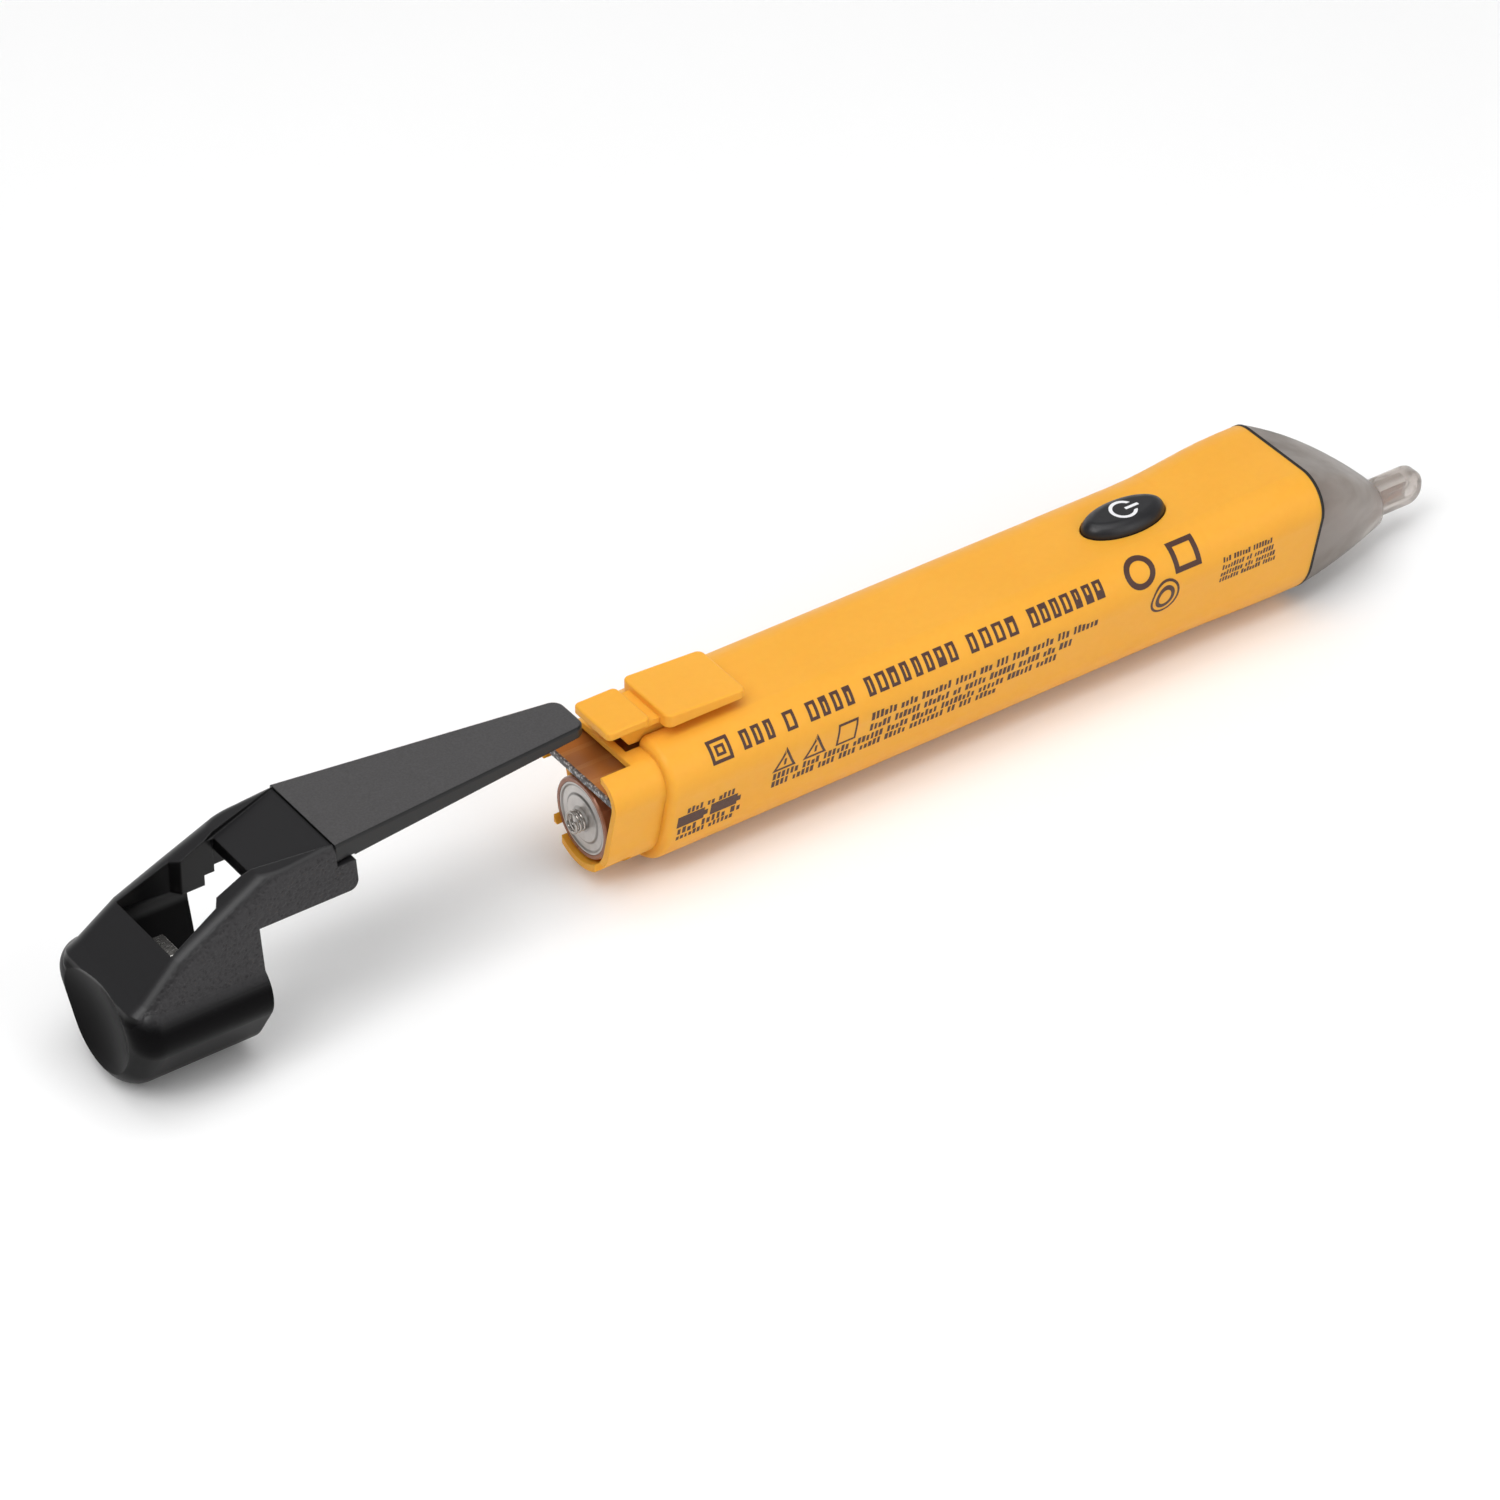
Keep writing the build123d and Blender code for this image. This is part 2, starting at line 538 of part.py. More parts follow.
# ---- Pocket clip: tapering blade with a flat underside and a lug under its end
with BuildPart() as pocket_clip:
    root_x, end_x = seam_x + clip_gap, seam_x + clip_length
    with BuildSketch(Plane.XY.offset(clip_under_z)):
        with BuildLine():
            Line((root_x, -clip_root / 2), (root_x, clip_root / 2))
            for side in (-1, 1):
                CenterArc((end_x - clip_corner, side * (clip_tip / 2 - clip_corner)), clip_corner, 0, 360)
                CenterArc((root_x + 13, side * (clip_root / 2 - 2.5)), 1.0, 0, 360)
        make_hull()
    extrude(amount=seam_z - clip_under_z)
    with BuildSketch(Plane.XZ):
        with BuildLine():
            Polyline((root_x - 1, seam_z), (root_x, seam_z), (end_x, clip_tip_z), (end_x + 1, clip_tip_z),
                     (end_x + 1, seam_z + 1), (root_x - 1, seam_z + 1), close=True)
        make_face()
    extrude(amount=clip_root, both=True, mode=Mode.SUBTRACT)
    # Relief over the cap's tabs
    bar(root_x - 1, tab_end_x + 0.3, -clip_root, clip_root, clip_under_z - 1, clip_under_z + clip_relief,
        Mode.SUBTRACT)
    top_edges = pocket_clip.faces().sort_by(Axis.Z)[-1].edges()
    fillet(top_edges.filter_by(lambda e: e.center().X > root_x + 0.5), 0.35)
    with BuildSketch(Plane.XZ):
        with BuildLine():
            Polyline((end_x - 1.6 - lug_length, clip_under_z), (end_x - 1.6, clip_under_z),
                     (end_x - 1.6, clip_under_z - lug_height), close=True)
        make_face()
    extrude(amount=lug_half, both=True)
save(pocket_clip.part.moved(opened), "pocket_clip")
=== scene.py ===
import math
import random

import bmesh
import bpy
from mathutils import Matrix, Vector
from mathutils.bvhtree import BVHTree

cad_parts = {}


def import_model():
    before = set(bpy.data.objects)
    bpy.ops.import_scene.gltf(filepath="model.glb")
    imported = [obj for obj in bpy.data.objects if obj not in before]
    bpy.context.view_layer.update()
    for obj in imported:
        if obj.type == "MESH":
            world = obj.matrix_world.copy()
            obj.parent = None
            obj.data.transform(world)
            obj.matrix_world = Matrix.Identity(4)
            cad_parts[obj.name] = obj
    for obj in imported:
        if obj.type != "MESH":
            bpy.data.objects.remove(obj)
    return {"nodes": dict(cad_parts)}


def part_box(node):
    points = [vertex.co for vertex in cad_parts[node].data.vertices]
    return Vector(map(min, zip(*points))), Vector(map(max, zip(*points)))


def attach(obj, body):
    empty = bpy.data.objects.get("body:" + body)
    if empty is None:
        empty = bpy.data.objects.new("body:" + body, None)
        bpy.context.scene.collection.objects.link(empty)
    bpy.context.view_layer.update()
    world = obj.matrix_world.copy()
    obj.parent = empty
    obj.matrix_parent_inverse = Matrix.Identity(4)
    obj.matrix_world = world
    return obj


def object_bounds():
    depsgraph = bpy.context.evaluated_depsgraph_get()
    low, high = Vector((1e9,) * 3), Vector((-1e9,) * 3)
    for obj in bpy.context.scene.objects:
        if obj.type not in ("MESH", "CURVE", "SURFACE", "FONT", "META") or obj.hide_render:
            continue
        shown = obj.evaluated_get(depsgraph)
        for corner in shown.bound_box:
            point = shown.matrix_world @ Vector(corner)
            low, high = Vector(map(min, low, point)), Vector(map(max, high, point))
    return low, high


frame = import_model()
cad_low, cad_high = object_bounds()
nodes = frame["nodes"]

MM = 0.001
random.seed(7)

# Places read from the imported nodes
cell_low, cell_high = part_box("rear_cell_jacket")
axis_z = (cell_low.z + cell_high.z) / 2
cell_end_x = cell_low.x
crease_z = axis_z + 5.1 * MM  # where the cap's flat flanks meet its rounded lower half
nose_back_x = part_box("nose_seal")[1].x


class Shader:
    """A node material built around one Principled shader, in object coordinates (metres)."""

    def __init__(self, name):
        self.mat = bpy.data.materials.new(name)
        self.mat.use_nodes = True
        self.tree = self.mat.node_tree
        self.tree.nodes.clear()
        self.out = self.node("ShaderNodeOutputMaterial")
        self.bsdf = self.node("ShaderNodeBsdfPrincipled")
        self.tree.links.new(self.bsdf.outputs[0], self.out.inputs["Surface"])
        self.coord = self.node("ShaderNodeTexCoord").outputs["Object"]
        self.geometry = self.node("ShaderNodeNewGeometry")

    def node(self, kind, inputs=None, **props):
        made = self.tree.nodes.new(kind)
        for key, value in props.items():
            setattr(made, key, value)
        for key, value in (inputs or {}).items():
            self.feed(made.inputs[key], value)
        return made

    def feed(self, socket, value):
        if isinstance(value, bpy.types.NodeSocket):
            self.tree.links.new(value, socket)
        else:
            socket.default_value = value

    def set(self, **inputs):
        for key, value in inputs.items():
            self.feed(self.bsdf.inputs[key.replace("_", " ")], value)

    def noise(self, size_mm, detail=3.0, rough=0.5, stretch=None):
        """Noise from 0 to 1 whose features are about size_mm across."""
        source = self.coord
        if stretch:
            source = self.node("ShaderNodeMapping", {"Vector": source, "Scale": stretch}).outputs[0]
        made = self.node("ShaderNodeTexNoise", {
            "Vector": source, "Scale": 1 / (size_mm * MM), "Detail": detail, "Roughness": rough})
        return made.outputs["Fac"]

    def cells(self, size_mm, smooth=0.6):
        """Pebbled cell pattern whose cells are about size_mm across."""
        made = self.node("ShaderNodeTexVoronoi", {
            "Vector": self.coord, "Scale": 1 / (size_mm * MM), "Smoothness": smooth}, feature="SMOOTH_F1")
        return made.outputs["Distance"]

    def remap(self, value, low, high, to_low=0.0, to_high=1.0):
        made = self.node("ShaderNodeMapRange", {
            "Value": value, "From Min": low, "From Max": high, "To Min": to_low, "To Max": to_high})
        return made.outputs[0]

    def uneven(self, size_mm, low, high, detail=3.0):
        """Soft noise spread between low and high, for a roughness that varies."""
        return self.remap(self.noise(size_mm, detail), 0.3, 0.7, low, high)

    def math(self, kind, a, b=0.0):
        return self.node("ShaderNodeMath", {0: a, 1: b}, operation=kind).outputs[0]

    def wave(self, value, pitch_mm):
        return self.math("SINE", self.math("MULTIPLY", value, 2 * math.pi / (pitch_mm * MM)))

    def blend(self, share, a, b):
        mixer = self.node("ShaderNodeMix", data_type="RGBA")
        self.feed(mixer.inputs[0], share)
        self.feed(mixer.inputs[6], a)
        self.feed(mixer.inputs[7], b)
        return mixer.outputs[2]

    def bump(self, height, depth_mm, strength=1.0, normal=None):
        inputs = {"Height": height, "Distance": depth_mm * MM, "Strength": strength}
        if normal is not None:
            inputs["Normal"] = normal
        return self.node("ShaderNodeBump", inputs).outputs[0]

    def soft_edges(self, radius_mm):
        return self.node("ShaderNodeBevel", {"Radius": radius_mm * MM}, samples=4).outputs[0]

    def axis(self, socket, letter):
        return self.node("ShaderNodeSeparateXYZ", {0: socket}).outputs[letter]

    def facing(self, letter, kind="True Normal"):
        """How far the surface faces along an axis, from -1 to 1."""
        return self.axis(self.geometry.outputs[kind], letter)


def rgb(r, g, b):
    return (r, g, b, 1.0)


def scaled(colour, factor, lift=0.0):
    return rgb(*[min(1.0, c * factor + lift) for c in colour[:3]])


def dress(mat, *names):
    """Gives CAD nodes one material."""
    for name in names:
        data = nodes[name].data
        data.materials.clear()
        data.materials.append(mat)


def add_mesh(name, mesh, mat):
    """Turns a bmesh into an object with one material."""
    data = bpy.data.meshes.new(name)
    mesh.to_mesh(data)
    mesh.free()
    data.materials.append(mat)
    piece = bpy.data.objects.new(name, data)
    bpy.context.collection.objects.link(piece)
    return piece


# ---- Materials -------------------------------------------------------------------------------
def amber_plastic():
    """Satin moulded amber plastic: faint flow mottle, fine texture, light that bleeds through thin walls."""
    s = Shader("amber_plastic")
    mottle = s.noise(14, 2)
    speck = s.remap(s.noise(0.9, 4), 0.35, 0.75, 0.0, 0.10)
    tint = s.blend(mottle, rgb(0.79, 0.365, 0.036), rgb(0.84, 0.405, 0.048))
    tint = s.blend(speck, tint, rgb(0.70, 0.285, 0.022))
    fine = s.bump(s.noise(0.16, 3), 0.006, 0.5, s.soft_edges(0.18))
    waves = s.bump(s.noise(5, 2), 0.03, 0.25, fine)
    s.set(Base_Color=tint, Roughness=s.uneven(2.2, 0.34, 0.46, 4), Normal=waves,
          Subsurface_Weight=0.22, Subsurface_Radius=(1.0, 0.42, 0.08), Subsurface_Scale=1.4 * MM,
          Specular_IOR_Level=0.17)
    return s.mat


def black_grain():
    """Black cap plastic: leathery grain on the outer flanks above the crease, smooth and darker elsewhere;
    painted light makes the smooth faces that look up paler, and painted shade darkens the pits of the grain.
    """
    s = Shader("black_grain")
    grain_depth_mm = 0.16
    outward = s.math("MULTIPLY", s.facing("Y"), s.math("SIGN", s.axis(s.coord, "Y")))
    above = s.remap(s.axis(s.coord, "Z"), crease_z - 0.6 * MM, crease_z + 0.3 * MM)
    leathery = s.math("MULTIPLY", s.remap(outward, 0.55, 0.85), above)
    # painted light: a mask of the faces that look up, which are painted paler below
    painted_top_light = s.remap(s.facing("Z"), 0.45, 0.75)
    pebbles = s.math("ADD", s.cells(0.5), s.math("MULTIPLY", s.noise(0.22, 3), 0.6))
    grain = s.bump(s.math("MULTIPLY", pebbles, leathery), grain_depth_mm, 1.0, s.soft_edges(0.3))
    fine = s.bump(s.noise(0.12, 2), 0.005, 0.4, grain)
    # painted shade: the pits of the grain are painted darker than its raised rims
    grain_with_painted_pit_shade = s.blend(s.remap(pebbles, 0.35, 0.75), rgb(0.0170, 0.0158, 0.0168), rgb(0.0300, 0.0285, 0.0300))
    # painted light: smooth faces that look up are painted paler, the others near black
    smooth = s.blend(painted_top_light, rgb(0.0022, 0.0020, 0.0023), rgb(0.0135, 0.0132, 0.0142))
    dust = s.remap(s.noise(0.5, 5, 0.7), 0.62, 0.8, 0.0, 0.12)
    colour = s.blend(dust, s.blend(leathery, smooth, grain_with_painted_pit_shade), rgb(0.034, 0.032, 0.033))
    shoulder = s.remap(s.facing("Z", "Normal"), 0.30, 0.90, 0.05, 0.26)
    shine = s.math("MAXIMUM", s.math("MULTIPLY", above, 0.27), shoulder)
    s.set(Base_Color=colour, Roughness=s.remap(leathery, 0.0, 1.0, 0.32, 0.46), Normal=fine,
          Specular_IOR_Level=shine)
    return s.mat


def clip_plastic():
    """Clip: satin black, its top painted a paler dark tone as a painted reflection of the light above, with
    worn scuffs; black on its edges and underneath.
    """
    s = Shader("clip_plastic")
    # painted reflection: faces that look up are painted a paler dark tone, the rest near black
    top = s.remap(s.facing("Z"), 0.93, 0.985)
    painted_sheen_and_scuffs = s.blend(s.uneven(0.25, 0.0, 1.0, 4), rgb(0.042, 0.040, 0.041), rgb(0.058, 0.056, 0.057))
    scuffs = s.remap(s.noise(2.4, 5, 0.7, (0.25, 1.6, 1.0)), 0.60, 0.74, 0.0, 0.18)
    painted_sheen_and_scuffs = s.blend(scuffs, painted_sheen_and_scuffs, rgb(0.085, 0.082, 0.082))
    s.set(Base_Color=s.blend(top, rgb(0.004, 0.004, 0.0042), painted_sheen_and_scuffs),
          Roughness=s.remap(top, 0.0, 1.0, 0.30, 0.50),
          Normal=s.bump(s.noise(0.18, 3), 0.01, 0.5, s.soft_edges(0.22)), Specular_IOR_Level=0.35)
    return s.mat


def smoke_plastic():
    """Translucent smoky nose: painted shade as darker brown streaks by the seal, painted shade darkening its
    silhouette edges, frosted but for its clearer tip.
    """
    s = Shader("smoke_plastic")
    fade_x = nose_back_x + 15 * MM             # the painted brown shade has faded by here
    frosted_x, clear_x = -9.5 * MM, -7.5 * MM  # the frosting fades between these
    x = s.axis(s.coord, "X")
    flow = s.remap(s.noise(4.5, 3, 0.5, (0.30, 1.0, 1.0)), 0.36, 0.62)
    # painted shade: the nose is painted darker brown towards the seal, fading out by fade_x
    painted_root_shade = s.blend(flow, rgb(0.22, 0.155, 0.11), rgb(0.48, 0.42, 0.375))
    front = s.blend(flow, rgb(0.56, 0.50, 0.455), rgb(0.72, 0.67, 0.63))
    colour = s.blend(s.remap(x, nose_back_x, fade_x), painted_root_shade, front)
    # painted shade: darker where the surface turns away from the view, along its silhouette edges
    painted_outline_shade = s.remap(s.node("ShaderNodeLayerWeight", {"Blend": 0.4}).outputs["Facing"], 0.45, 1.0, 0.0, 0.6)
    colour = s.blend(painted_outline_shade, colour, rgb(0.16, 0.135, 0.115))
    clearer = s.remap(x, frosted_x, clear_x, 0.0, 0.22)
    s.set(Base_Color=colour, Roughness=s.math("SUBTRACT", s.uneven(1.4, 0.36, 0.44), clearer),
          Transmission_Weight=0.70, IOR=1.42, Specular_IOR_Level=0.45)
    return s.mat


def rubber(name, colour, roughness=0.5):
    s = Shader(name)
    dust = s.remap(s.noise(0.35, 5, 0.7), 0.6, 0.8, 0.0, 0.25)
    s.set(Base_Color=s.blend(dust, colour, scaled(colour, 2.2, 0.02)),
          Roughness=s.uneven(0.8, roughness - 0.06, roughness + 0.08),
          Normal=s.bump(s.noise(0.1, 3), 0.012, 0.6, s.soft_edges(0.1)), Specular_IOR_Level=0.4)
    return s.mat


def plain_plastic(name, colour, roughness=0.45, speckle=0.15):
    s = Shader(name)
    specks = s.remap(s.noise(0.6, 4), 0.35, 0.7, 0.0, speckle)
    s.set(Base_Color=s.blend(specks, colour, scaled(colour, 0.72)),
          Roughness=s.uneven(1.2, roughness - 0.06, roughness + 0.06),
          Normal=s.bump(s.noise(0.15, 3), 0.006, 0.5, s.soft_edges(0.06)))
    return s.mat


def metal(name, colour, roughness=0.28, brushed=(1.0, 1.0, 1.0)):
    """Plated metal with fine brushing and faint tarnish."""
    s = Shader(name)
    tarnish = s.remap(s.noise(1.6, 4), 0.45, 0.75, 0.0, 0.3)
    streaks = s.noise(0.12, 4, 0.6, brushed)
    s.set(Base_Color=s.blend(tarnish, colour, scaled(colour, 0.7)), Metallic=1.0,
          Roughness=s.remap(streaks, 0.3, 0.7, roughness - 0.08, roughness + 0.1),
          Normal=s.bump(streaks, 0.006, 0.5, s.soft_edges(0.04)))
    return s.mat


def beaded_strip():
    """Contact strip across the board's end: dull tin with a beaded, darker surface, with painted shade in the
    hollows between the beads.
    """
    s = Shader("edge_strip")
    beads = s.remap(s.cells(0.42, 0.3), 0.15, 0.55)
    # painted shade: darker in the hollows between the beads
    colour = s.blend(beads, rgb(0.52, 0.51, 0.51), rgb(0.13, 0.125, 0.125))
    s.set(Base_Color=colour, Metallic=0.7, Roughness=s.remap(beads, 0.0, 1.0, 0.30, 0.55),
          Normal=s.bump(beads, -0.05, 0.7))
    return s.mat


def turned_disc():
    """Cell end: nickel with concentric turning marks and three groove rings darkened with painted shade round
    the bore axis.
    """
    s = Shader("turned_disc")
    mark_pitch_mm = 0.22
    painted_groove_shades = ((3.05, 0.75), (4.15, 0.6), (1.5, 0.35))  # radius in mm, how dark its painted shade
    dy = s.axis(s.coord, "Y")
    dz = s.math("SUBTRACT", s.axis(s.coord, "Z"), axis_z)
    radius = s.math("SQRT", s.math("ADD", s.math("MULTIPLY", dy, dy), s.math("MULTIPLY", dz, dz)))
    marks = s.math("ADD", s.math("MULTIPLY", s.wave(radius, mark_pitch_mm), 0.4), s.noise(0.3, 4))
    stain = s.remap(s.noise(1.5, 4), 0.35, 0.75)
    tint = s.blend(stain, rgb(0.66, 0.635, 0.61), rgb(0.54, 0.51, 0.49))
    # painted shade: a dark ring along each groove
    for groove_mm, share in painted_groove_shades:
        away = s.math("ABSOLUTE", s.math("SUBTRACT", radius, groove_mm * MM))
        tint = s.blend(s.remap(away, 0.05 * MM, 0.22 * MM, share, 0.0), tint, rgb(0.14, 0.125, 0.115))
    s.set(Base_Color=tint, Metallic=0.85, Roughness=s.remap(marks, 0.0, 1.0, 0.30, 0.44),
          Normal=s.bump(marks, 0.008, 0.45, s.soft_edges(0.08)))
    return s.mat


def laminate():
    """Lacquered board: warm brown mask over a faint weave, with slightly raised tracks."""
    s = Shader("laminate")
    weave_pitch_mm, track_pitch_mm = 0.5, 3.1
    x, y = s.axis(s.coord, "X"), s.axis(s.coord, "Y")
    weave = s.math("MULTIPLY", s.wave(x, weave_pitch_mm), s.wave(y, weave_pitch_mm))
    tracks = s.remap(s.wave(y, track_pitch_mm), 0.72, 0.8)
    colour = s.blend(s.noise(2.5, 3), rgb(0.40, 0.135, 0.028), rgb(0.50, 0.19, 0.045))
    colour = s.blend(s.math("MULTIPLY", tracks, 0.35), colour, rgb(0.58, 0.27, 0.08))
    relief = s.math("ADD", s.math("MULTIPLY", weave, 0.25), tracks)
    s.set(Base_Color=colour, Roughness=0.33, Normal=s.bump(relief, 0.02, 0.5), Coat_Weight=0.3,
          Coat_Roughness=0.15)
    return s.mat


def sleeve():
    """Copper coloured metallised sleeve of a cell."""
    s = Shader("sleeve")
    scuff = s.remap(s.noise(0.7, 5, 0.7, (0.2, 1.0, 1.0)), 0.55, 0.75, 0.0, 0.6)
    colour = s.blend(scuff, rgb(0.28, 0.098, 0.042), rgb(0.44, 0.21, 0.11))
    s.set(Base_Color=colour, Metallic=0.35, Roughness=s.uneven(0.6, 0.26, 0.4, 4),
          Normal=s.bump(s.noise(0.3, 3), 0.008, 0.4, s.soft_edges(0.08)), Coat_Weight=0.4,
          Coat_Roughness=0.15)
    return s.mat


def lens(name, colour):
    s = Shader(name)
    cloud = s.noise(0.8, 3)
    s.set(Base_Color=s.blend(cloud, colour, scaled(colour, 1.4)), Roughness=0.15,
          Transmission_Weight=0.5, Normal=s.bump(cloud, 0.01, 0.3))
    return s.mat


def ink():
    """Dark brown pad-printed ink, a little worn."""
    s = Shader("print_ink")
    worn = s.remap(s.noise(0.35, 5, 0.7), 0.60, 0.82, 0.0, 0.45)
    s.set(Base_Color=s.blend(worn, rgb(0.055, 0.016, 0.008), rgb(0.30, 0.10, 0.02)),
          Roughness=s.uneven(0.2, 0.42, 0.56), Normal=s.bump(s.noise(0.1, 3), 0.004, 0.5))
    return s.mat


drawn = (0.3, 1.0, 1.0)  # brushed along the body
dress(amber_plastic(), "body_tube", "release_latch")
dress(black_grain(), "cap_shell")
dress(clip_plastic(), "pocket_clip")
dress(smoke_plastic(), "nose_cone")
dress(rubber("seal_black", rgb(0.012, 0.009, 0.008), 0.6), "nose_seal", "button_gasket")
dress(rubber("button_black", rgb(0.011, 0.011, 0.013), 0.36), "power_button")
dress(plain_plastic("mark_white", rgb(0.80, 0.80, 0.82), 0.5, 0.1), "button_mark")
dress(laminate(), "circuit_board")
dress(beaded_strip(), "board_contact")
dress(metal("nickel", rgb(0.72, 0.70, 0.67), 0.2, drawn), "positive_contact", "cap_contact")
dress(metal("spring_wire", rgb(0.46, 0.43, 0.40), 0.22), "tail_spring")
dress(turned_disc(), "rear_cell_can", "front_cell_can")
dress(sleeve(), "rear_cell_jacket", "front_cell_jacket")
dress(metal("bare_copper", rgb(0.80, 0.42, 0.24), 0.3, drawn), "sensor_strip")
dress(plain_plastic("component_black", rgb(0.022, 0.022, 0.024), 0.5),
      "contact_carrier", "detector_chip", "board_parts", "switch_body", "buzzer")
dress(plain_plastic("plunger_black", rgb(0.05, 0.05, 0.055), 0.4), "switch_plunger")
dress(lens("lamp_red", rgb(0.70, 0.04, 0.02)), "alert_lamp")
dress(lens("lamp_green", rgb(0.05, 0.50, 0.08)), "power_lamp")


# ---- Print on the flank, as thin ink on the moulded surface ----------------------------------
INK_TOP, INK_ROOT = 0.028 * MM, -0.02 * MM  # the ink's faces above and below the surface
PATCH_MM = 0.6                              # widest square that follows the surface
OUTSIDE = 30 * MM                           # rays towards the axis start this far from it
RING_SIDES = 28

# Stations are mm from the cell's end, angles are degrees from +Z towards -Y, sizes are mm
MAIN_LINE = 42
MAIN_TYPE = (2.3, 1.7, 0.40)  # height, glyph, line
MAIN_WORDS = ((16.6, 5.0), (22.6, 2.2), (26.0, 6.8), (34.2, 13.4), (48.8, 7.6), (57.8, 11.2))  # start, length
SQUARES = (  # station, angle, side, line
    (13.9, MAIN_LINE, 2.9, 0.42), (13.9, MAIN_LINE, 1.3, 0.34), (81.0, MAIN_LINE, 3.9, 0.7),
    (31.2, 64, 2.8, 0.27))
RINGS = (  # station, angle, radius, line
    (74.3, MAIN_LINE, 2.15, 0.75), (77.6, 64, 2.1, 0.3), (77.6, 64, 1.4, 0.5))
TRIANGLES = ((22.5, 64, 3.3, 0.3), (26.8, 64, 3.3, 0.3))  # station, angle, side, line
BATTERIES = ((10.0, 84, 4.2, 1.7), (14.6, 84, 4.2, 1.7))  # station, angle, length, height
SENTENCES = (  # start, end, angle, height, glyph
    (34.5, 68.0, 60.0, 0.95, 0.62), (34.5, 64.0, 68.5, 0.95, 0.62),
    (21.0, 62.0, 77.5, 0.95, 0.62), (21.0, 55.0, 86.0, 0.95, 0.62),
    (86.0, 94.5, 55, 0.62, 0.42), (86.0, 94.5, 60, 0.62, 0.42),
    (86.0, 94.5, 65, 0.62, 0.42), (86.0, 94.5, 70, 0.62, 0.42),
    (9.0, 17.0, 74, 0.85, 0.58), (8.0, 17.0, 95.5, 1.0, 0.7), (8.0, 16.0, 103.5, 0.8, 0.58))


def surface_tree(name):
    mesh = bmesh.new()
    mesh.from_mesh(nodes[name].data)
    tree = BVHTree.FromBMesh(mesh)
    mesh.free()
    return tree


body_tree = surface_tree("body_tube")


def flank(x, angle, lift):
    """Point over the flank at x and an angle from +Z towards -Y round the bore axis."""
    out = Vector((0, -math.sin(angle), math.cos(angle)))
    hit, normal, _, _ = body_tree.ray_cast(Vector((x, 0, axis_z)) + out * OUTSIDE, -out)
    return hit + normal * lift


def flank_radius(x, angle):
    hit = flank(x, angle, 0)
    return math.hypot(hit.y, hit.z - axis_z)


def lerp(a, b, t):
    return (a[0] + (b[0] - a[0]) * t, a[1] + (b[1] - a[1]) * t)


def stamp(mesh, x, angle, quad):
    """Prints one four-sided patch given in mm about (x, angle): u along the body, v up the flank. It is cut
    into small squares that follow the moulded surface, and closed underneath."""
    radius = flank_radius(x, angle)
    a, b, c, d = quad
    along = max(1, math.ceil(max(math.dist(a, b), math.dist(d, c)) / PATCH_MM))
    up = max(1, math.ceil(max(math.dist(a, d), math.dist(b, c)) / PATCH_MM))
    grids = []
    for lift in (INK_TOP, INK_ROOT):
        rows = []
        for j in range(up + 1):
            left, right = lerp(a, d, j / up), lerp(b, c, j / up)
            spots = [lerp(left, right, i / along) for i in range(along + 1)]
            rows.append([mesh.verts.new(flank(x + u * MM, angle - v * MM / radius, lift)) for u, v in spots])
        grids.append(rows)
    top, base = grids
    for j in range(up):
        for i in range(along):
            mesh.faces.new((top[j][i], top[j][i + 1], top[j + 1][i + 1], top[j + 1][i]))
            mesh.faces.new((base[j][i], base[j + 1][i], base[j + 1][i + 1], base[j][i + 1]))
    rim = [(0, i) for i in range(along)] + [(j, along) for j in range(up)]
    rim += [(up, i) for i in range(along, 0, -1)] + [(j, 0) for j in range(up, 0, -1)]
    for (j0, i0), (j1, i1) in zip(rim, rim[1:] + rim[:1]):
        mesh.faces.new((top[j0][i0], base[j0][i0], base[j1][i1], top[j1][i1]))


def block(mesh, x, angle, width, height, u=0.0, v=0.0):
    stamp(mesh, x, angle, [(u - width / 2, v - height / 2), (u + width / 2, v - height / 2),
                           (u + width / 2, v + height / 2), (u - width / 2, v + height / 2)])


def square_mark(mesh, x, angle, side, line):
    """A hollow square."""
    reach = (side - line) / 2
    for sign in (-1, 1):
        block(mesh, x, angle, side, line, 0, sign * reach)
        block(mesh, x, angle, line, side - 2 * line, sign * reach, 0)


def ring_mark(mesh, x, angle, radius, line):
    for i in range(RING_SIDES):
        a0, a1 = 2 * math.pi * i / RING_SIDES, 2 * math.pi * (i + 1) / RING_SIDES
        corners = ((radius, a0), (radius, a1), (radius - line, a1), (radius - line, a0))
        stamp(mesh, x, angle, [(r * math.cos(a), r * math.sin(a)) for r, a in corners])


def triangle_mark(mesh, x, angle, side, line):
    """A hollow triangle with a short bar inside."""
    tall = side * 0.87
    inset = 1 - 3.4 * line / side
    centre_v = -tall / 6
    outer = [(-side / 2, -tall / 2), (side / 2, -tall / 2), (0, tall / 2)]
    inner = [(u * inset, (v - centre_v) * inset + centre_v) for u, v in outer]
    for i in range(3):
        j = (i + 1) % 3
        stamp(mesh, x, angle, [outer[i], outer[j], inner[j], inner[i]])
    block(mesh, x, angle, line, tall * 0.3, 0, -tall * 0.12)


def battery_mark(mesh, x, angle, length, height):
    """A solid cell shape: a long can with a small cap."""
    cap = length * 0.12
    block(mesh, x, angle, length - cap, height, -cap / 2)
    block(mesh, x, angle, cap, height * 0.45, (length - cap) / 2)


def glyphs(x, length, glyph):
    """Middle and pitch of each of the evenly spaced glyphs that fill a word."""
    count = max(1, round(length / glyph))
    pitch = length / count
    return [(x + (i + 0.5) * pitch * MM, pitch) for i in range(count)]


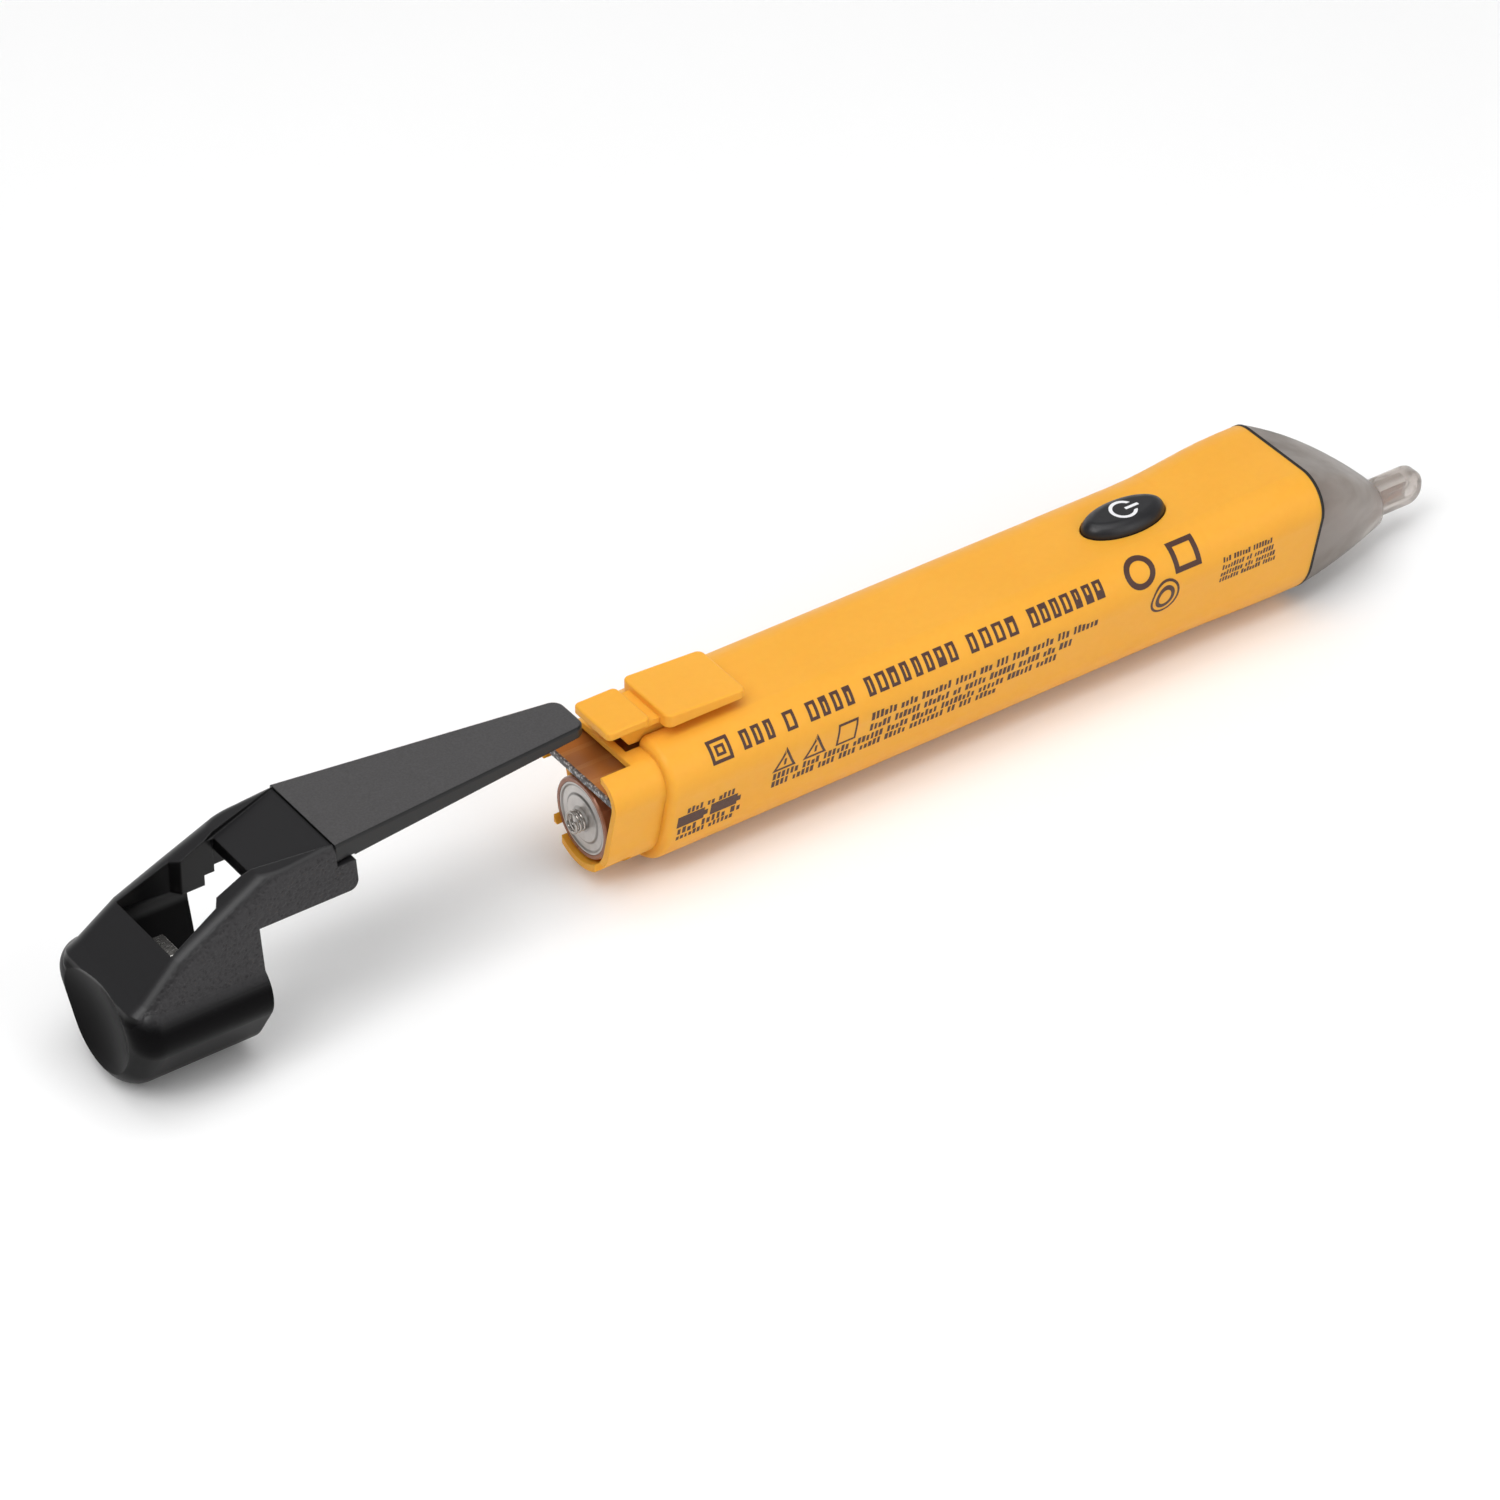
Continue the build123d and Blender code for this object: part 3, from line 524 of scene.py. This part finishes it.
def word(mesh, x, angle, length, height, glyph):
    """A word stood in for by a row of plain solid blocks."""
    for middle, pitch in glyphs(x, length, glyph):
        width = pitch * random.uniform(0.5, 0.72)
        tall = height * random.choice((1.0, 1.0, 0.86, 0.72))
        block(mesh, middle, angle, width, tall, 0, (tall - height) / 2)


def open_word(mesh, x, angle, length, height, glyph, line):
    """A larger word stood in for by a row of hollow boxes, some of them part filled."""
    fills = ((line, line), (line, line), (height * 0.45, line), (line, height * 0.3))  # lower bar, upper bar
    for middle, pitch in glyphs(x, length, glyph):
        width = pitch * random.uniform(0.60, 0.80)
        lower, upper = random.choice(fills)
        for side in (-1, 1):
            block(mesh, middle, angle, line, height, side * (width - line) / 2)
        block(mesh, middle, angle, width - 2 * line, lower, 0, (lower - height) / 2)
        block(mesh, middle, angle, width - 2 * line, upper, 0, (height - upper) / 2)


def sentence(mesh, start, end, angle, height, glyph):
    """Words of random lengths filling one line."""
    while start < end - 2 * glyph:
        length = min(end - start, glyph * random.randint(2, 8))
        word(mesh, cell_end_x + start * MM, angle, length, height, glyph)
        start += length + glyph * 0.8


def print_flank():
    mesh = bmesh.new()
    for start, length in MAIN_WORDS:
        open_word(mesh, cell_end_x + start * MM, math.radians(MAIN_LINE), length, *MAIN_TYPE)
    for mark, places in ((square_mark, SQUARES), (ring_mark, RINGS), (triangle_mark, TRIANGLES),
                         (battery_mark, BATTERIES)):
        for station, angle, *sizes in places:
            mark(mesh, cell_end_x + station * MM, math.radians(angle), *sizes)
    for start, end, angle, height, glyph in SENTENCES:
        sentence(mesh, start, end, math.radians(angle), height, glyph)
    piece = add_mesh("flank_print", mesh, ink())
    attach(piece, "tester")


print_flank()


# ---- Stage: pale floor, soft studio light, camera ---------------------------------------------
CENTRE = (cad_low + cad_high) / 2
FLOOR_Z = cad_low.z - 0.4 * MM
VIEW_AZIMUTH, VIEW_ELEVATION = -35, 37.3  # the photograph's viewing angle
VIEW_DISTANCE, LENS_MM = 0.800, 165
VIEW_SHIFT = (-0.0050, -0.0060)           # the camera's move to its right and up
SKY_LIGHT, SKY_SEEN = 0.33, 0.90          # the camera sees a paler sky than the one that lights the object
LAMPS = (  # name, azimuth, elevation, distance, size, power
    ("key", -70, 52, 0.9, 0.5, 3.4), ("fill", 25, 28, 1.1, 0.8, 3.5), ("over", -20, 86, 0.8, 0.7, 3.3))


def floor_material():
    s = Shader("floor_white")
    # The far floor glows a little, so that it stays pale beyond the reach of the lamps
    middle = (CENTRE.x, 0, FLOOR_Z)
    away = s.node("ShaderNodeVectorMath", {0: s.coord, 1: middle}, operation="DISTANCE").outputs["Value"]
    glow = s.remap(away, 0.35, 1.0, 0.0, 0.52)
    s.set(Base_Color=s.blend(s.noise(60, 2), rgb(0.90, 0.90, 0.90), rgb(0.92, 0.92, 0.92)), Roughness=0.9,
          Specular_IOR_Level=0.0, Emission_Color=rgb(1, 1, 1), Emission_Strength=glow)
    # Clear from below, so that the object's underside can be looked at
    clear = s.node("ShaderNodeBsdfTransparent").outputs[0]
    below = s.geometry.outputs["Backfacing"]
    sides = s.node("ShaderNodeMixShader", {0: below, 1: s.bsdf.outputs[0], 2: clear})
    s.tree.links.new(sides.outputs[0], s.out.inputs["Surface"])
    return s.mat


def floor():
    """A pale sheet that curves up into a backdrop behind the object, square to the camera."""
    reach, half_width, rise, radius, steps = 1.6, 3.0, 1.2, 0.5, 16
    profile = [(-reach, FLOOR_Z), (reach, FLOOR_Z)]  # distance away from the camera, height
    for i in range(1, steps + 1):
        a = math.pi / 2 * i / steps
        profile.append((reach + radius * math.sin(a), FLOOR_Z + radius * (1 - math.cos(a))))
    profile.append((reach + radius, FLOOR_Z + rise))
    turn = Matrix.Rotation(math.radians(VIEW_AZIMUTH), 3, "Z")
    mesh = bmesh.new()
    left, right = ([mesh.verts.new(turn @ Vector((side, d, z))) for d, z in profile]
                   for side in (-half_width, half_width))
    for i in range(len(profile) - 1):
        mesh.faces.new((left[i], right[i], right[i + 1], left[i + 1])).smooth = True
    add_mesh("studio_floor", mesh, floor_material())


def aim(name, data, azimuth, elevation, distance):
    """Places a lamp or camera so that it looks at the object's middle; at azimuth 0 it looks along +Y."""
    a, e = math.radians(azimuth), math.radians(elevation)
    back = Vector((math.sin(a) * math.cos(e), -math.cos(a) * math.cos(e), math.sin(e)))
    made = bpy.data.objects.new(name, data)
    made.location = CENTRE + back * distance
    made.rotation_mode = "QUATERNION"
    made.rotation_quaternion = (-back).to_track_quat("-Z", "Y")
    bpy.context.collection.objects.link(made)
    return made


def soft_light(name, azimuth, elevation, distance, size, power):
    data = bpy.data.lights.new(name, "AREA")
    data.size, data.energy = size, power
    aim(name, data, azimuth, elevation, distance)


def camera():
    """The photograph's viewing angle, backed off a little so that the pulled-off cap stays in frame."""
    data = bpy.data.cameras.new("camera")
    data.lens, data.sensor_width = LENS_MM, 36
    data.clip_start, data.clip_end = 0.05, 10
    cam = aim("camera", data, VIEW_AZIMUTH, VIEW_ELEVATION, VIEW_DISTANCE)
    cam.location += cam.rotation_quaternion @ Vector((*VIEW_SHIFT, 0))
    bpy.context.scene.camera = cam


def world():
    sky = bpy.data.worlds.new("studio")
    sky.use_nodes = True
    tree = sky.node_tree
    mixer = tree.nodes.new("ShaderNodeMixShader")
    tree.links.new(tree.nodes.new("ShaderNodeLightPath").outputs["Is Camera Ray"], mixer.inputs[0])
    for slot, node, strength in ((1, tree.nodes["Background"], SKY_LIGHT),
                                 (2, tree.nodes.new("ShaderNodeBackground"), SKY_SEEN)):
        node.inputs[0].default_value = rgb(1, 1, 1)
        node.inputs[1].default_value = strength
        tree.links.new(node.outputs[0], mixer.inputs[slot])
    tree.links.new(mixer.outputs[0], tree.nodes["World Output"].inputs["Surface"])
    bpy.context.scene.world = sky


floor()
camera()
world()
for lamp in LAMPS:
    soft_light(*lamp)
bpy.context.scene.view_settings.view_transform = "Standard"
